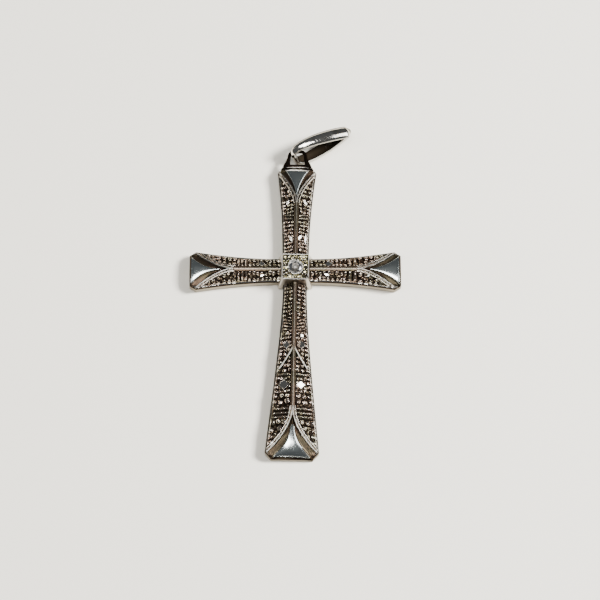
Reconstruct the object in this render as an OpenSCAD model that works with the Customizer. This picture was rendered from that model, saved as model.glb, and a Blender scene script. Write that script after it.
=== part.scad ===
// A cross pendant of cast silver with a small brilliant in a square box setting.
// It lies on its back with its face up (+Z) and its head toward +Y, as it is stored.
// The origin is on the surface that it lies on, straight under the stone.

/* [Cross] */
// Reach of the upper arm from the stone's centre, without the loop
upper_reach = 13.9; // [11:0.1:18]
// Reach of the lower arm from the stone's centre
lower_reach = 24.3; // [19:0.1:34]
// Reach of each side arm from the stone's centre
side_reach = 13.2; // [11:0.1:18]
// Width of the upper arm beside the box
upper_root_w = 3.3; // [2.6:0.05:4]
// Width of the lower arm beside the box
lower_root_w = 2.95; // [2.6:0.05:4]
// Width of a side arm beside the box
side_root_w = 3.1; // [2.6:0.05:4]
// Width of the upper arm at its corners
upper_end_w = 4.9; // [4.4:0.1:6.5]
// Width of the lower arm at its corners
lower_end_w = 6.65; // [5.8:0.1:8.5]
// Width of a side arm at its corners
side_end_w = 5; // [4.5:0.1:6.5]
// Height of the arms' side walls
wall_h = 1.35; // [1:0.05:2]
// Rise of the roof-shaped face from the walls to the middle
gable_rise = 0.85; // [0.5:0.05:1.1]
// Length of the cut corner at each arm's end
corner_cut = 0.8; // [0.4:0.05:1]

/* [Relief] */
// Width of the raised ridge along each arm
ridge_w = 0.5; // [0.3:0.05:0.7]
// Height of the ridge above the face
ridge_h = 0.2; // [0.1:0.05:0.3]
// Width of the thin chevron on the lower arm
chevron_w = 0.34; // [0.2:0.02:0.5]
// Depth of the channel round each end cap
channel_depth = 0.4; // [0.2:0.05:0.5]
// Height of the caps' outer edge above the back
cap_edge_h = 1.75; // [1.6:0.05:2]
// Width of a grain in the rows
grain_d = 0.4; // [0.3:0.02:0.46]
// Height of a grain above the face
grain_h = 0.16; // [0.08:0.02:0.24]
// Spacing of the grains along a row
grain_pitch = 0.52; // [0.48:0.02:0.8]
// Spacing of the bars
bar_pitch = 0.5; // [0.44:0.02:0.8]

/* [Box setting] */
// Width of the square plate round the stone
plate_w = 3.4; // [3:0.05:3.8]
// Width of the box at its four feet
foot_w = 4.35; // [4:0.05:4.8]
// Height of the plate above the back
plate_h = 3; // [2.7:0.05:3.4]
// Height of the feet above the back
foot_h = 0.4; // [0.2:0.05:0.6]
// Width of the plate's raised frame
frame_w = 0.17; // [0.12:0.01:0.24]
// Depth of the plate inside its frame
frame_depth = 0.14; // [0.08:0.02:0.2]
// Width of the arch in each wall of the box
arch_w = 3.5; // [3.2:0.05:3.7]

/* [Stone] */
// Diameter of the brilliant
stone_d = 1.7; // [1.4:0.05:2]
// Gap between the stone and its seat
seat_gap = 0.04; // [0.02:0.01:0.08]

/* [Loop] */
// Thickness of the loop's wire where it is soldered on
loop_wire_d = 0.56; // [0.44:0.02:0.6]
// Thickness of the loop's wire at its top, where the bail has worn it
loop_worn_d = 0.4; // [0.36:0.02:0.44]
// Width of the loop where it is soldered on, between the wire's middles
loop_base_w = 2.6; // [2.4:0.05:2.9]
// Width of the loop at its top, between the wire's middles
loop_top_w = 2; // [1.8:0.05:2.2]
// Height of the loop above the arm's end, to the wire's middle
loop_rise = 2.1; // [1.95:0.05:2.3]

/* [Bail] */
// Length of the bail, from the end in the loop to the fold
bail_length = 7.46; // [6.9:0.05:9]
// Widest opening between the rims of the bail's two sides
bail_opening = 2.31; // [2.22:0.03:2.6]
// Width of the bail's strap at the narrow end
bail_neck_w = 0.98; // [0.8:0.03:1.04]
// Width of the bail's strap at its widest
bail_fold_w = 2.1; // [1.8:0.05:2.3]
// Thickness of the bail's strap
bail_wall = 0.24; // [0.2:0.02:0.3]
// Height of the dome across the bail's strap
bail_dome = 0.7; // [0.5:0.02:0.8]

/* [Hidden] */

// Columns of the arms' table
TURN = 0;
REACH = 1;
ROOT_W = 2;
END_W = 3;
BEND = 4;
CAP_LENGTH = 5;
CAP_SHARE = 6;
FORK_LENGTH = 7;
FORK_POWER = 8;
CAP_POWER = 9;
FIELD = 10;

// Columns of a field's rows: what it is, and where it starts and ends as shares of the arm's reach
KIND = 0;
FROM = 1;
TO = 2;
GRAINS = 0;
BARS = 1;
LOZENGE = 2;

side_field = [
    [GRAINS, 0.2, 0.28], [LOZENGE, 0.28, 0.37], [GRAINS, 0.38, 0.46],
    [BARS, 0.47, 0.57], [GRAINS, 0.58, 0.92]
];
upper_field = [
    [GRAINS, 0.2, 0.27], [LOZENGE, 0.28, 0.38], [BARS, 0.4, 0.52],
    [GRAINS, 0.53, 0.6], [LOZENGE, 0.61, 0.7], [BARS, 0.71, 0.77], [GRAINS, 0.78, 0.93]
];
lower_field = [
    [GRAINS, 0.115, 0.265], [BARS, 0.275, 0.335], [GRAINS, 0.345, 0.385], [LOZENGE, 0.39, 0.43],
    [GRAINS, 0.43, 0.555], [LOZENGE, 0.565, 0.64], [GRAINS, 0.65, 0.715],
    [BARS, 0.72, 0.785], [GRAINS, 0.795, 0.94]
];

// The cast side arms stand off square by this angle
side_turn = 1.1;

ARMS = [
    [90, upper_reach, upper_root_w, upper_end_w, 2, 4.1, 0.76, 5.1, 1.65, 1.65, upper_field],
    [-90, lower_reach, lower_root_w, lower_end_w, 0.3, 4.3, 0.78, 6.5, 1.95, 2.5, lower_field],
    [side_turn, side_reach, side_root_w, side_end_w, 2, 4, 0.8, 5.5, 1.65, 1.8, side_field],
    [180 + side_turn, side_reach, side_root_w, side_end_w, 2, 4, 0.8, 5.5, 1.65, 2.4, side_field]
];
LOWER = ARMS[1];

plate_reach = plate_w / 2;
arm_steps = 9;
// Draft of the side walls, and how far an added body is sunk into the one under it
wall_draft = 0.06;
sink = 0.3;

// Steps of the fork's and the cap's curves, which follow a power of the way along
curve_steps = 7;
// A moulding's full-width sides end at this share of its height, and its branches are this much narrower
shoulder_share = 0.4;
branch_share = 0.8;
// The cap's tip, its crown's flat middle, and the drop from the crown to its edges
cap_tip_half = 0.06;
crown_flat_share = 0.5;
crown_drop = 0.05;
edge_drop = 0.1;

// A grain's foot and top, and a bar's foot and top, as shares of its width or pitch
grain_growth = 0.8;
grain_foot_share = 1.35;
grain_top_share = 0.4;
bar_foot_share = 0.7;
bar_top_share = 0.3;
lozenge_foot_share = 1.3;
lozenge_top_share = 0.2;

// Height of the middle of the arms' face, and how far an arm reaches in under the plate
roof_h = wall_h + gable_rise;
root_depth = 1.1;

// Box: rise of its arches as a share of its height, thickness of the plate's square edge and of the feet,
// and how far the core under the plate stands in, as a share of the box's flare, and stays under the frame
arch_rise_share = 0.62;
plate_edge = 0.3;
foot_edge = 0.05;
core_share = 0.6;
core_drop = 0.1;
// The seat: a short flare over a straight bore, as shares of the stone's diameter
seat_flare_share = 0.2;
seat_bore_share = 0.75;

// Chevron on the lower arm, as shares of its reach and of its width
chevron_from = 0.41;
chevron_to = 0.53;
chevron_spread = 0.86;
chevron_bend = 1.3;

// Bail: the turn of its length from the arm's direction, its rise toward the fold and its roll; then how far its
// neck reaches past the wire's middle, and where it hangs from there
bail_swing = 63;
bail_lift = 3.7;
bail_roll = 29;
bail_neck_reach = 1.415;
bail_shift = [0.03, 0.05, 0.3];
// Powers of its outline from the side, and how its strap grows wider from the neck
bail_sides = 28;
bail_strips = 6;
bail_fullness = 0.5;
bail_taper = 1.3;
bail_widening = 0.9;
bail_full_from = 1.15;

// Loop: height of its wire above the back, and the radius of its corners
loop_h = 1.39;
loop_corner = 0.5;
loop_sides = 10;

// The brilliant: facets round its table, and its profile as [radius, height over the girdle], in shares of its
// radius
facets = 8;
stone_table = [0.56, 0.3];
stone_crown = [0.8, 0.16];
stone_pavilion = [0.2, -0.7];
stone_culet = [0.025, -0.86];
girdle_half = 0.02;
// Thickness of the thin layers that a hull is drawn over
layer = 0.01;

// Shape of the arms

// Share of the flare reached at a share s of the arm; a small bend turns early and then runs straight
function flare(s, bend) = (sqrt(s * s + bend * bend) - bend) / (sqrt(1 + bend * bend) - bend);

// Where an arm's straight flare ends and its cut corner starts
function corner_u(arm) = arm[REACH] - corner_cut;

// Half of an arm's width at a distance u from the stone
function half_w(arm, u) = (arm[ROOT_W] + (arm[END_W] - arm[ROOT_W])
    * flare(max(0, u - plate_reach) / (corner_u(arm) - plate_reach), arm[BEND])) / 2;

function cap_half(arm) = arm[END_W] * arm[CAP_SHARE] / 2;

// Height of the roof-shaped face at a distance u along an arm and v across it
function face_z(arm, u, v) = wall_h + gable_rise * (1 - abs(v) / half_w(arm, u));

// Half of the fork's spread at a distance u: it opens from the ridge to the arm's corner
function fork_u(arm) = arm[REACH] - arm[FORK_LENGTH];
function fork_end_u(arm) = corner_u(arm);
function fork_v(arm, u) = (half_w(arm, fork_end_u(arm)) - ridge_w / 2)
    * pow(max(0, (u - fork_u(arm)) / (fork_end_u(arm) - fork_u(arm))), arm[FORK_POWER]);

function span(from, to, steps) = [for (i = [0:steps]) from + (to - from) * i / steps];

// A closed solid through rings of points that all have the same number of points
module loft(rings) {
    n = len(rings[0]);
    last = len(rings) - 1;
    polyhedron(
        points = [for (ring = rings) each ring],
        faces = concat(
            [[for (j = [0:n - 1]) j]],
            [for (i = [0:last - 1], j = [0:n - 1], k = [0, 1])
                let (p = i * n + j, q = i * n + (j + 1) % n)
                k == 0 ? [p, p + n, q + n] : [p, q + n, q]],
            [[for (j = [n - 1:-1:0]) last * n + j]]
        )
    );
}

// Left-hand direction of a path at its point i, seen from above
function path_left(path, i) =
    let (a = path[max(0, i - 1)], b = path[min(len(path) - 1, i + 1)], d = [b.x - a.x, b.y - a.y])
    [-d.y, d.x, 0] / norm(d);

// A strip with the given cross section, [side, height] points, along a path
module strip(path, section) {
    loft([for (i = [0:len(path) - 1])
        [for (s = section) path[i] + path_left(path, i) * s[0] + [0, 0, s[1]]]]);
}

// Cross section of a raised moulding with a sunk foot and a rounded top
function moulding(w, h) = [
    [-w / 2, -sink], [w / 2, -sink], [w / 2, h * shoulder_share], [w / 4, h],
    [-w / 4, h], [-w / 2, h * shoulder_share]
];

// One arm's body: upright walls under a roof-shaped face
module arm_body(arm) {
    stations = concat([plate_reach - root_depth], [for (i = [0:arm_steps])
        plate_reach + (corner_u(arm) - plate_reach) * i / arm_steps], [arm[REACH]]);
    loft([for (u = stations)
        let (w = u > corner_u(arm) ? cap_half(arm) : half_w(arm, u))
        [[u, -w + wall_draft, 0], [u, w - wall_draft, 0], [u, w, wall_h], [u, 0, roof_h], [u, -w, wall_h]]
    ]);
}

// The space inside an arm's fork, down to the channel's floor, which falls toward the arm's end
module channel(arm) {
    start = fork_u(arm) + ridge_w / 2;
    end = fork_end_u(arm);
    loft([for (u = concat(span(start, end, curve_steps), [arm[REACH] + sink]))
        let (
            v = fork_v(arm, min(u, end)) - ridge_w * 0.1,
            s = (u - start) / (arm[REACH] - start),
            mid = roof_h - channel_depth - (gable_rise - channel_depth) * s,
            side = min(mid, face_z(arm, min(u, end), v) - channel_depth)
        )
        [[u, -v, side], [u, 0, mid], [u, v, side], [u, v, roof_h + sink], [u, -v, roof_h + sink]]
    ]);
}

// The smooth cap inside the fork: pointed toward the stone, crowned, and square at the arm's end
module cap(arm) {
    start = arm[REACH] - arm[CAP_LENGTH];
    point_h = roof_h - channel_depth / 2;
    loft([for (i = [0:curve_steps])
        let (
            t = i / curve_steps,
            u = start + arm[CAP_LENGTH] * t,
            c = max(cap_tip_half, cap_half(arm) * pow(t, arm[CAP_POWER])),
            crown = point_h + (cap_edge_h - point_h) * t * t + channel_depth / 2 * t * (1 - t),
            edge = crown - edge_drop - channel_depth * t / 2
        )
        [[u, -c, wall_h - sink], [u, c, wall_h - sink], [u, c, edge],
            [u, c * crown_flat_share, crown - crown_drop], [u, -c * crown_flat_share, crown - crown_drop],
            [u, -c, edge]]
    ]);
}

// The ridge from the box to the fork, and the fork's two curved branches
module ridge_and_fork(arm) {
    strip([for (u = span(plate_reach - sink, fork_u(arm) + ridge_w, 6)) [u, 0, face_z(arm, u, 0)]],
        moulding(ridge_w, ridge_h));
    for (side = [-1, 1])
        strip([for (u = span(fork_u(arm), fork_end_u(arm), curve_steps + 1))
            let (v = fork_v(arm, u)) [u, side * v, face_z(arm, u, v)]],
            moulding(ridge_w * branch_share, ridge_h));
}

// One grain of the cast rows: a low faceted dome, as wide as d
module grain(d) {
    h = grain_h * sqrt(d / grain_d);
    translate([0, 0, -h]) cylinder(d1 = grain_foot_share * d, d2 = grain_top_share * d, h = 2 * h, $fn = 5);
}

// Rows of grains on both sides of the ridge, clear of the fork and the arm's edge. They grow with the arm
module grain_rows(arm, from, to) {
    grow = pow(2 * half_w(arm, (from + to) / 2) / arm[ROOT_W], grain_growth);
    d = grain_d * grow;
    pitch = grain_pitch * grow;
    for (u = [from + pitch / 2:pitch:to], side = [-1, 1]) {
        low = (ridge_w + d) / 2 + (u > fork_u(arm) ? fork_v(arm, u) : 0);
        high = half_w(arm, u) - d * 0.6;
        rows = floor((high - low) / pitch);
        if (high > low)
            for (k = [0:1:rows])
                let (v = low + (high - low) * (rows > 0 ? k / rows : 0.5))
                translate([u, side * v, face_z(arm, u, v)]) grain(d);
    }
}

// Short bars across the face on both sides of the ridge
module bars(arm, from, to) {
    for (u = [from + bar_pitch / 2:bar_pitch:to], side = [-1, 1]) {
        low = max(ridge_w / 2, u > fork_u(arm) ? fork_v(arm, u) + ridge_w / 2 : 0);
        high = half_w(arm, u) - grain_d / 2;
        hull()
            for (v = [low, high])
                translate([u, side * v, face_z(arm, u, v) - sink])
                    cylinder(d1 = bar_pitch * bar_foot_share, d2 = bar_pitch * bar_top_share, h = sink + grain_h, $fn = 4);
    }
}

// A raised lozenge with bright-cut facets on both sides of the ridge
module lozenges(arm, from, to) {
    mid = (from + to) / 2;
    v = (ridge_w + half_w(arm, mid)) / 2;
    for (side = [-1, 1])
        translate([mid, side * v, face_z(arm, mid, v) - sink])
            scale([(to - from) / 2, v - ridge_w, 1])
                cylinder(r1 = lozenge_foot_share, r2 = lozenge_top_share, h = sink + grain_h, $fn = 4);
}

module field(arm) {
    for (row = arm[FIELD]) {
        from = row[FROM] * arm[REACH];
        to = row[TO] * arm[REACH];
        if (row[KIND] == GRAINS) grain_rows(arm, from, to);
        if (row[KIND] == BARS) bars(arm, from, to);
        if (row[KIND] == LOZENGE) lozenges(arm, from, to);
    }
}

// The thin chevron across the lower arm's face
module chevron() {
    from = chevron_from * LOWER[REACH];
    to = chevron_to * LOWER[REACH];
    for (side = [-1, 1])
        strip([for (u = span(from, to, 3))
            let (v = half_w(LOWER, to) * chevron_spread * pow((u - from) / (to - from), chevron_bend))
            [u, side * v, face_z(LOWER, u, v)]],
            moulding(chevron_w, ridge_h));
}

module arm(a) {
    rotate(a[TURN]) {
        difference() {
            arm_body(a);
            channel(a);
        }
        cap(a);
        ridge_and_fork(a);
        field(a);
    }
}

// The square box over the crossing: it flares to four feet, and an arch in each wall lets an arm through
module box_setting() {
    core = plate_w - core_share * (foot_w - plate_w);
    seat_r = stone_d / 2 + frame_w;
    arch_rise = (plate_h - foot_h) * arch_rise_share;
    difference() {
        union() {
            difference() {
                hull() {
                    translate([0, 0, foot_h]) linear_extrude(foot_edge) square(foot_w, center = true);
                    translate([0, 0, plate_h - plate_edge]) linear_extrude(plate_edge) square(plate_w, center = true);
                }
                for (turn = [0:90:270])
                    rotate([0, 90, turn])
                        translate([-foot_h, 0, core / 2])
                            scale([arch_rise, arch_w / 2, 1]) cylinder(r = 1, h = foot_w, $fn = 20);
            }
            linear_extrude(plate_h - core_drop) square(core, center = true);
        }
        translate([0, 0, plate_h - frame_depth])
            linear_extrude(2 * frame_depth) square(plate_w - 2 * frame_w, center = true);
        translate([0, 0, plate_h - frame_depth - stone_d * seat_flare_share])
            cylinder(r1 = stone_d / 2 + seat_gap, r2 = seat_r, h = stone_d * seat_flare_share + layer, $fn = 24);
        translate([0, 0, plate_h - stone_d * seat_bore_share])
            cylinder(r = stone_d / 2 + seat_gap, h = stone_d * seat_bore_share - frame_depth, $fn = 24);
    }
}

// The loop on the upper arm's end: a wire bent to a tapered stirrup, open from front to back
function loop_path() =
    let (
        base = upper_reach - sink,
        top = upper_reach + loop_rise,
        b = loop_base_w / 2,
        t = loop_top_w / 2,
        corner = [for (a = [0:30:90]) [t - loop_corner + loop_corner * cos(a), top - loop_corner + loop_corner * sin(a)]]
    )
    concat([[b, base]], corner, [for (i = [len(corner) - 1:-1:0]) [-corner[i].x, corner[i].y]], [[-b, base]]);

module loop() {
    path = [for (p = loop_path()) [p.x, p.y, loop_h]];
    last = len(path) - 1;
    loft([for (i = [0:last])
        let (r = (i == 0 || i == last ? loop_wire_d : loop_worn_d) / 2, left = path_left(path, i))
        [for (k = [0:loop_sides - 1])
            path[i] + left * r * cos(360 * k / loop_sides) + [0, 0, r * sin(360 * k / loop_sides)]]]);
}

// One silver casting: four arms, the box and the loop
module cross() {
    color("silver") {
        for (a = ARMS) arm(a);
        chevron();
        box_setting();
        loop();
    }
}

// A round brilliant: table, crown, thin girdle and pavilion, with eightfold facets
module stone() {
    r = stone_d / 2 - seat_gap;
    girdle_h = plate_h - frame_depth - seat_gap;
    ring = function(radius, count, shift) [for (i = [0:count - 1])
        radius * [cos(360 * (i + shift) / count), sin(360 * (i + shift) / count)]];
    color("white")
        hull() {
            translate([0, 0, girdle_h - girdle_half])
                linear_extrude(2 * girdle_half) polygon(ring(r, 2 * facets, 0));
            for (level = [[stone_table, facets, 0], [stone_crown, facets, 0.5],
                    [stone_pavilion, facets, 0.5], [stone_culet, 4, 0]])
                translate([0, 0, girdle_h + r * level[0][1]])
                    linear_extrude(layer) polygon(ring(r * level[0][0], level[1], level[2]));
        }
}

// The bail lies on its side: l runs from the neck to the fold, d from its lower to its upper side,
// and w across the strap
bail_l = [sin(bail_swing) * cos(bail_lift), cos(bail_swing) * cos(bail_lift), sin(bail_lift)];
bail_t = [cos(bail_swing), -sin(bail_swing), 0];
bail_up = cross(bail_t, bail_l);
bail_n = cos(bail_roll) * bail_t + sin(bail_roll) * bail_up;
bail_d = -sin(bail_roll) * bail_t + cos(bail_roll) * bail_up;
bail_hang = bail_shift + [
    loop_top_w / 2 - loop_corner * (1 - cos(45)),
    upper_reach + loop_rise - loop_corner * (1 - sin(45)),
    loop_h
];

// Outline of the bail from the side: full at the neck and narrower toward the fold
function bail_outline(a) = pow(abs(sin(a)), bail_fullness) * pow(abs(cos(a / 2)), bail_taper);
bail_peak = max([for (a = [0:2:180]) bail_outline(a)]);
function bail_point_at(a) = [
    (bail_length - bail_wall) * (1 - cos(a)) / 2 - bail_neck_reach,
    (bail_opening + bail_wall) / 2 * sign(sin(a)) * bail_outline(a) / bail_peak
];
function bail_half(a) =
    let (s = (1 - cos(a)) / 2)
    (bail_neck_w + (bail_fold_w - bail_neck_w) * pow(sin(min(1, s * bail_full_from) * 90), bail_widening)) / 2;

// One ring of the strap: domed outside, hollow inside, rims at both sides
function bail_ring(a) =
    let (
        p = bail_point_at(a),
        e = 1,
        q = bail_point_at(a + e) - bail_point_at(a - e),
        out = [-q.y, q.x] / norm(q),
        half = bail_half(a),
        at = function(k, depth)
            let (w = half * k, lift = bail_dome * half / bail_fold_w * 2 * (1 - k * k) - depth, c = p + out * lift)
            bail_hang + bail_l * c.x + bail_d * c.y + bail_n * w
    )
    concat([for (i = [0:bail_strips]) at(2 * i / bail_strips - 1, 0)],
        [for (i = [bail_strips:-1:0]) at(2 * i / bail_strips - 1, bail_wall)]);

module bail() {
    rings = [for (i = [0:bail_sides - 1]) bail_ring(360 * i / bail_sides)];
    n = len(rings[0]);
    color("gainsboro")
        polyhedron(
            points = [for (ring = rings) each ring],
            faces = [for (i = [0:bail_sides - 1], j = [0:n - 1], k = [0, 1])
                let (m = (i + 1) % bail_sides, p = i * n + j, q = i * n + (j + 1) % n,
                    s = m * n + j, t = m * n + (j + 1) % n)
                k == 0 ? [p, s, t] : [p, t, q]]
        );
}

cross();
stone();
bail();
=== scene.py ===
# %% [markdown]
# A cross pendant of cast silver lies face up on a pale table, with its bail thrown to the right.
# The packed model gives the frame: its bodies carry every piece that is made here, in metres.
# All shapes below are worked out in millimetres, as a jeweller measures, and turned into metres last.

# %% The packed frame
import math

import bpy
import numpy as np
from mathutils import Matrix


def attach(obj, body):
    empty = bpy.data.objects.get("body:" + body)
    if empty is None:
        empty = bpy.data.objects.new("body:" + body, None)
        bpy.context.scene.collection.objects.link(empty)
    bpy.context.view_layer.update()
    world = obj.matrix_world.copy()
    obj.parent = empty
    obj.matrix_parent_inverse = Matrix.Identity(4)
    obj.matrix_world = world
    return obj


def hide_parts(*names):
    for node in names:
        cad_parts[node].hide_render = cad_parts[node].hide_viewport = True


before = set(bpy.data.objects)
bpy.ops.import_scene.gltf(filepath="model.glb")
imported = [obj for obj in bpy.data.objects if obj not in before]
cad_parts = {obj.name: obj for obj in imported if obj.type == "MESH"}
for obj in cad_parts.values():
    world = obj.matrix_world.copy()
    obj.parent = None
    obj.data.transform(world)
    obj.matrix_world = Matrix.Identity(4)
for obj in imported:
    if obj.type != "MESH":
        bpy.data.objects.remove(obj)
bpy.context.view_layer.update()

MM = 0.001

# %% [markdown]
# The camera comes first, because everything is judged through it. A pendant is often photographed
# from high up: here 71 degrees above the table, with a long lens, and turned by about one degree.
# The camera is placed by going back from the point in the middle of the picture, which keeps the
# angle and the distance apart.

# %% Camera
ELEVATION, TURN, DISTANCE = math.radians(71), math.radians(1.05), 300 * MM
MIDDLE = (0.66 * MM, -3.4 * MM, 0)
camera = bpy.data.objects.new("camera", bpy.data.cameras.new("camera"))
bpy.context.scene.collection.objects.link(camera)
camera.data.sensor_width, camera.data.lens = 36, 144
camera.data.clip_start, camera.data.clip_end = 0.01, 10
facing = Matrix.Rotation(math.pi / 2 - ELEVATION, 4, "X") @ Matrix.Rotation(TURN, 4, "Z")
camera.matrix_world = Matrix.Translation(MIDDLE) @ facing @ Matrix.Translation((0, 0, DISTANCE))
bpy.context.scene.camera = camera
print("camera at", [round(v, 3) for v in camera.matrix_world.translation])

# %% [markdown]
# Every new piece is a grid of points: rows of points that neighbours join into small four-sided faces.
# A ring of points carried along a line makes a rod or a strap, and a height worked out over a grid
# makes a relief. One helper turns such a grid into a mesh, closes it where it runs round, and turns
# the faces outward by the sign of the volume that they enclose.

# %% A mesh from a grid of points
def grid_faces(rows, columns, round_rows=False, round_columns=False):
    """Four corners of each face: point, next along the row, next row's next, next row's point."""
    index = np.arange(rows * columns).reshape(rows, columns)
    if round_columns:
        index = np.concatenate([index, index[:, :1]], 1)
    if round_rows:
        index = np.concatenate([index, index[:1]], 0)
    return np.stack([index[:-1, :-1], index[:-1, 1:], index[1:, 1:], index[1:, :-1]], -1).reshape(-1, 4)


def enclosed(points, groups):
    """Six times the volume: the sum over each face's triangles of a . (b x c)."""
    total = 0.0
    for group in groups:
        corner = points[group]
        for k in range(1, corner.shape[1] - 1):
            total += np.einsum("ij,ij->", corner[:, 0], np.cross(corner[:, k], corner[:, k + 1]))
    return total


def piece(name, points, quads, caps=(), smooth=True, marks=None, body="cross"):
    """Points in millimetres and faces become an object that rides on a body; marks are point attributes."""
    points = np.asarray(points, float).reshape(-1, 3)
    groups = [np.asarray(quads)] + [np.asarray(cap)[None] for cap in caps]
    if enclosed(points, groups) < 0:
        groups = [group[:, ::-1] for group in groups]
    mesh = bpy.data.meshes.new(name)
    mesh.from_pydata((points * MM).tolist(), [], [face for group in groups for face in group.tolist()])
    mesh.polygons.foreach_set("use_smooth", [smooth] * len(mesh.polygons))
    for mark, values in (marks or {}).items():
        layer = mesh.attributes.new(mark, "FLOAT", "POINT")
        layer.data.foreach_set("value", np.asarray(values, np.float32).ravel())
    mesh.update()
    made = bpy.data.objects.new(name, mesh)
    bpy.context.scene.collection.objects.link(made)
    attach(made, body)
    triangles = sum(len(group) * (group.shape[1] - 2) for group in groups)
    print(name, triangles, "triangles, box", points.min(0).round(2), points.max(0).round(2))
    return made


def closed_skin(name, rings, marks):
    """Rings of points that follow each other, joined and closed by a face at each end."""
    rows, around = rings.shape[:2]
    ends = np.arange(around), np.arange((rows - 1) * around, rows * around)[::-1]
    return piece(name, rings, grid_faces(rows, around, round_columns=True), ends, marks=marks)


print("a grid of 3 by 4 points has", len(grid_faces(3, 4)), "faces")

# %% [markdown]
# Each arm of the cross flares from the box in its middle to a wide end with two cut corners. Its face
# is a low roof: a ridge runs along it and forks into two branches, which leave room for a smooth cap.
# On both sides of the ridge lie rows of grains, bars and small bright-cut facets.
# The main sizes are those of the solid model, so the fine surface lies close to the plain solid.

# %% The arms' sizes
PLATE_W, PLATE_H = 3.4, 3.0
WALL_H, GABLE, CORNER = 1.35, 0.85, 0.8
RIDGE_W, RIDGE_H = 0.5, 0.2
ROLL, ROLL_DEPTH = 0.24, 0.24
ROOT_U = PLATE_W / 2 - 1.1
ARMS = {
    "upper": dict(turn=90, reach=13.9, root=3.3, end=4.9, bend=2.0, cap=4.1, share=0.76, fork=5.1,
                  fork_power=1.65, cap_power=1.65, tip=0.08, fall=0.25),
    "lower": dict(turn=-90, reach=24.3, root=2.95, end=6.65, bend=0.3, cap=4.3, share=0.78, fork=6.5,
                  fork_power=1.95, cap_power=2.3, tip=0.28, fall=1.0, lean=0.085),
    "right": dict(turn=1.1, reach=13.2, root=3.1, end=5.0, bend=2.0, cap=4.0, share=0.8, fork=5.5,
                  fork_power=1.65, cap_power=1.8, tip=0.1, fall=0.08),
    "left": dict(turn=181.1, reach=13.2, root=3.1, end=5.0, bend=2.0, cap=4.0, share=0.8, fork=5.5,
                 fork_power=1.65, cap_power=2.4, tip=0.1, fall=0.25),
}


def half_width(arm, u):
    """Half of the arm's width: the root's plus the flare (sqrt(s^2 + b^2) - b) / (sqrt(1 + b^2) - b),
    then straight in over the cut corner to the cap's half width."""
    bend, corner = arm["bend"], arm["reach"] - CORNER
    s = np.clip((u - PLATE_W / 2) / (corner - PLATE_W / 2), 0, 1)
    flare = (np.sqrt(s * s + bend * bend) - bend) / (math.sqrt(1 + bend * bend) - bend)
    wide = (arm["root"] + (arm["end"] - arm["root"]) * flare) / 2
    cut = np.clip((u - corner) / CORNER, 0, 1)
    return wide * (1 - cut) + arm["end"] * arm["share"] / 2 * cut


def fork_half(arm, u):
    """Half of the fork's spread: from the ridge at its start to the arm's corner, as a power of the way."""
    start, end = arm["reach"] - arm["fork"], arm["reach"] - CORNER
    return (arm["end"] - RIDGE_W) / 2 * np.clip((u - start) / (end - start), 0, 1) ** arm["fork_power"]


for name, arm in ARMS.items():
    print(name, "half widths", [round(float(half_width(arm, u)), 2) for u in (2, 8, arm["reach"])])

# %% [markdown]
# A profile across a ridge is needed again and again: full in the middle, falling to nothing at a half
# width. Two shapes do it all. The round one is half an ellipse, for cast grains and rubbed ridges, and
# the flat one is a plateau with rolled sides, for the caps, the main ridge and the arms' edges.

# %% Profiles
def rounded(distance, half):
    """Half an ellipse: sqrt(1 - (distance / half)^2), and 0 outside."""
    return np.sqrt(np.clip(1 - (distance / half) ** 2, 0, 1))


def plateau(distance, half, roll):
    """1 inside, falling over the last stretch of width roll like a quarter of a circle."""
    way = np.clip((np.abs(distance) - (half - roll)) / roll, 0, 1)
    return np.sqrt(np.clip(1 - way * way, 0, 1))


def step(value, low, high):
    """A smooth step from 0 to 1: 3 t^2 - 2 t^3."""
    t = np.clip((value - low) / (high - low), 0, 1)
    return t * t * (3 - 2 * t)


SPAN = 64
dice = np.random.default_rng(11)
LATTICE = dice.random((SPAN, SPAN)) - 0.5


def lumps(x, y, size):
    """Smooth unevenness from -0.5 to 0.5: dice on a lattice of that size, blended by smooth steps."""
    column, row = np.floor(x / size).astype(int), np.floor(y / size).astype(int)
    a, b = (step(part, 0, 1) for part in (x / size - column, y / size - row))
    corner = [[LATTICE[(column + i) % SPAN, (row + j) % SPAN] for j in (0, 1)] for i in (0, 1)]
    near, far = (corner[0][j] * (1 - a) + corner[1][j] * a for j in (0, 1))
    return near * (1 - b) + far * b


print("lumps reach from", LATTICE.min().round(2), "to", LATTICE.max().round(2))

# %% [markdown]
# The grains are beads that were cast with the cross and then worn, so no two are alike. A row is a
# lattice: from a point's place along and across the arm the nearest bead's number follows by rounding,
# and a table of dice gives that bead its own shift, size and height. No bead is ever made by itself.

# %% Grains, bars and facets
# A bead's greatest shift, its least radius and what the dice add to it, as shares of the pitch
SHIFT, RADIUS, GROWTH = 0.3, 0.38, 0.14
# Its least height and what the dice add, as shares of the row's height, and the size of the table of dice
LEAST, TALLER, COLUMNS, LANES = 0.65, 0.6, 64, 24


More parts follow.
